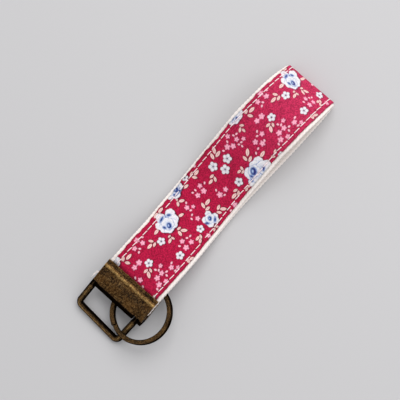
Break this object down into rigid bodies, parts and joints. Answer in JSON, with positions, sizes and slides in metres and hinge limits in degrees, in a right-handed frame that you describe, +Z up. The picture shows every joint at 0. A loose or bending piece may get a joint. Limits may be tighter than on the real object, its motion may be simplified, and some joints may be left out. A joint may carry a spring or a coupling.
{
  "type": "wristlet keychain",
  "caption": "Flat hand loop of webbing faced with printed cotton, crimped in a metal clamp that carries a bent wire loop and a split ring.",
  "frame": {"origin": "centre of the box's underside, at the height of the table that it lies on", "axes": "+X across the strap towards the ring's side, +Y along the strap from the metal parts to the fold, +Z up out of the printed face"},
  "size_m": [0.0356, 0.1254, 0.0139],
  "materials": {
    "antique_brass": "antiqued, dark in the hollows and worn bright on the edges",
    "webbing": "matt ribbed cotton webbing",
    "printed_fabric": "matt plain-weave cotton with a small flower print",
    "thread": "twisted sewing thread"
  },
  "bodies": {
    "clamp": {"clamp": "antique_brass", "webbing_end_upper": "webbing", "webbing_end_lower": "webbing", "fabric_end_upper": "printed_fabric", "fabric_end_lower": "printed_fabric"},
    "wire_loop": {"wire_loop": "antique_brass"},
    "split_ring": {"split_ring": "antique_brass"},
    "strap_near": {"webbing_near_upper": "webbing", "webbing_near_lower": "webbing", "fabric_near_upper": "printed_fabric", "fabric_near_lower": "printed_fabric", "needle_thread_near_upper_left": "thread", "bobbin_thread_near_upper_left": "thread", "needle_thread_near_upper_right": "thread", "bobbin_thread_near_upper_right": "thread", "needle_thread_near_lower_left": "thread", "bobbin_thread_near_lower_left": "thread", "needle_thread_near_lower_right": "thread", "bobbin_thread_near_lower_right": "thread"},
    "strap_far": {"webbing_fold": "webbing", "fabric_fold": "printed_fabric", "needle_thread_fold_left": "thread", "bobbin_thread_fold_left": "thread", "needle_thread_fold_right": "thread", "bobbin_thread_fold_right": "thread"}
  },
  "joints": [
    {"name": "loop_swing", "type": "hinge", "parent": "clamp", "child": "wire_loop", "pos_m": [-0.00396, -0.04732, 0.00786], "axis": [1, 0, 0], "range_deg": [-50, 0]},
    {"name": "ring_swing", "type": "hinge", "parent": "wire_loop", "child": "split_ring", "pos_m": [0.00493, -0.05865, 0.00257], "axis": [-0.0923, -0.9024, -0.4208], "range_deg": [0, 60]},
    {"name": "strap_bend_near", "type": "hinge", "parent": "clamp", "child": "strap_near", "pos_m": [-0.00396, -0.03834, 0.01127], "axis": [1, 0, 0], "range_deg": [0, 45], "stiffness_Nm_per_rad": 0.05},
    {"name": "strap_bend_far", "type": "hinge", "parent": "strap_near", "child": "strap_far", "pos_m": [-0.00396, 0.00968, 0.00401], "axis": [1, 0, 0], "range_deg": [-14, 50], "stiffness_Nm_per_rad": 0.03}
  ]
}
